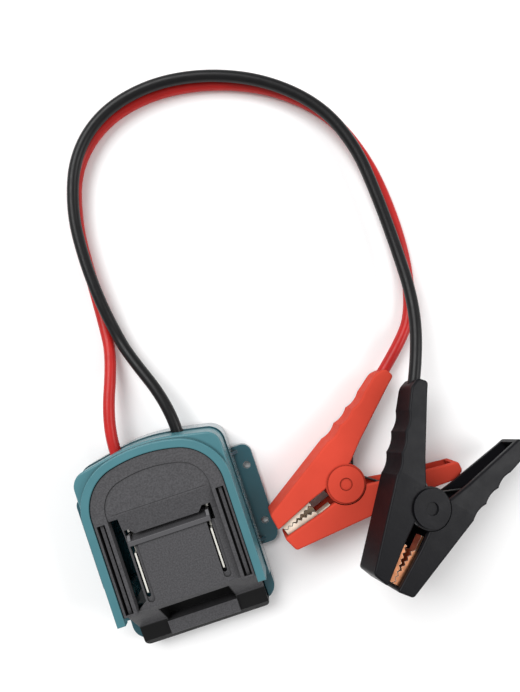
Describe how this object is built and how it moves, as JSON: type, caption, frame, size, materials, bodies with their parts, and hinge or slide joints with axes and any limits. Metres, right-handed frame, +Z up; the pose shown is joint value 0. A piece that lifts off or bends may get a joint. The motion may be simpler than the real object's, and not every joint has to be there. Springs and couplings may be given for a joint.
{
  "type": "battery adapter cable",
  "caption": "Slide-on power tool battery adapter with a black and a red flexible cable, each ending in a sprung clamp with toothed copper jaws.",
  "frame": {"origin": "middle of the adapter's flat rear face, on the floor it lies on", "axes": "+Z up out of the battery side, +Y towards the side the cables leave, +X to the right of the battery side, towards the clamps"},
  "size_m": [0.2346, 0.2883, 0.0528],
  "materials": {
    "case_teal": "satin",
    "slide_black": "fine grain",
    "contact_metal": "bright",
    "steel": "zinc plated",
    "cable_red": "smooth silicone",
    "cable_black": "smooth silicone",
    "clamp_red": "satin",
    "clamp_black": "satin",
    "jaw_copper": "copper plated"
  },
  "bodies": {
    "adapter": {"rear_shell": "case_teal", "front_frame": "case_teal", "battery_slide": "slide_black", "terminal_carrier": "slide_black", "positive_blade": "contact_metal", "negative_blade": "contact_metal", "shell_screws": "steel", "carrier_screws": "steel", "cable_clamp_bar": "slide_black", "clamp_bar_screws": "steel", "positive_lug": "contact_metal", "negative_lug": "contact_metal", "red_inner_lead": "cable_red", "black_inner_lead": "cable_black", "red_cable": "cable_red", "black_cable": "cable_black", "red_cable_handle": "clamp_red", "red_cable_jaw": "jaw_copper", "red_pivot_pin": "steel", "red_pivot_caps": "clamp_red", "red_torsion_spring": "steel", "red_handle_lead": "cable_red", "red_crimp": "jaw_copper", "black_cable_handle": "clamp_black", "black_cable_jaw": "jaw_copper", "black_pivot_pin": "steel", "black_pivot_caps": "clamp_black", "black_torsion_spring": "steel", "black_handle_lead": "cable_black", "black_crimp": "jaw_copper"},
    "red_lever": {"red_lever_handle": "clamp_red", "red_lever_jaw": "jaw_copper"},
    "black_lever": {"black_lever_handle": "clamp_black", "black_lever_jaw": "jaw_copper"}
  },
  "joints": [
    {"name": "red_clamp_pivot", "type": "hinge", "parent": "adapter", "child": "red_lever", "pos_m": [0.0909, -0.0026, 0.01215], "axis": [0.0792, 0.027, 0.9965], "range_deg": [0, 26], "stiffness_Nm_per_rad": 0.9, "springref_deg": -51.57, "deforming": ["red_torsion_spring"]},
    {"name": "black_clamp_pivot", "type": "hinge", "parent": "adapter", "child": "black_lever", "pos_m": [0.12314, -0.02176, 0.0332], "axis": [0.2366, 0.0708, 0.969], "range_deg": [0, 26], "stiffness_Nm_per_rad": 0.9, "springref_deg": -51.57, "deforming": ["black_torsion_spring"]}
  ]
}
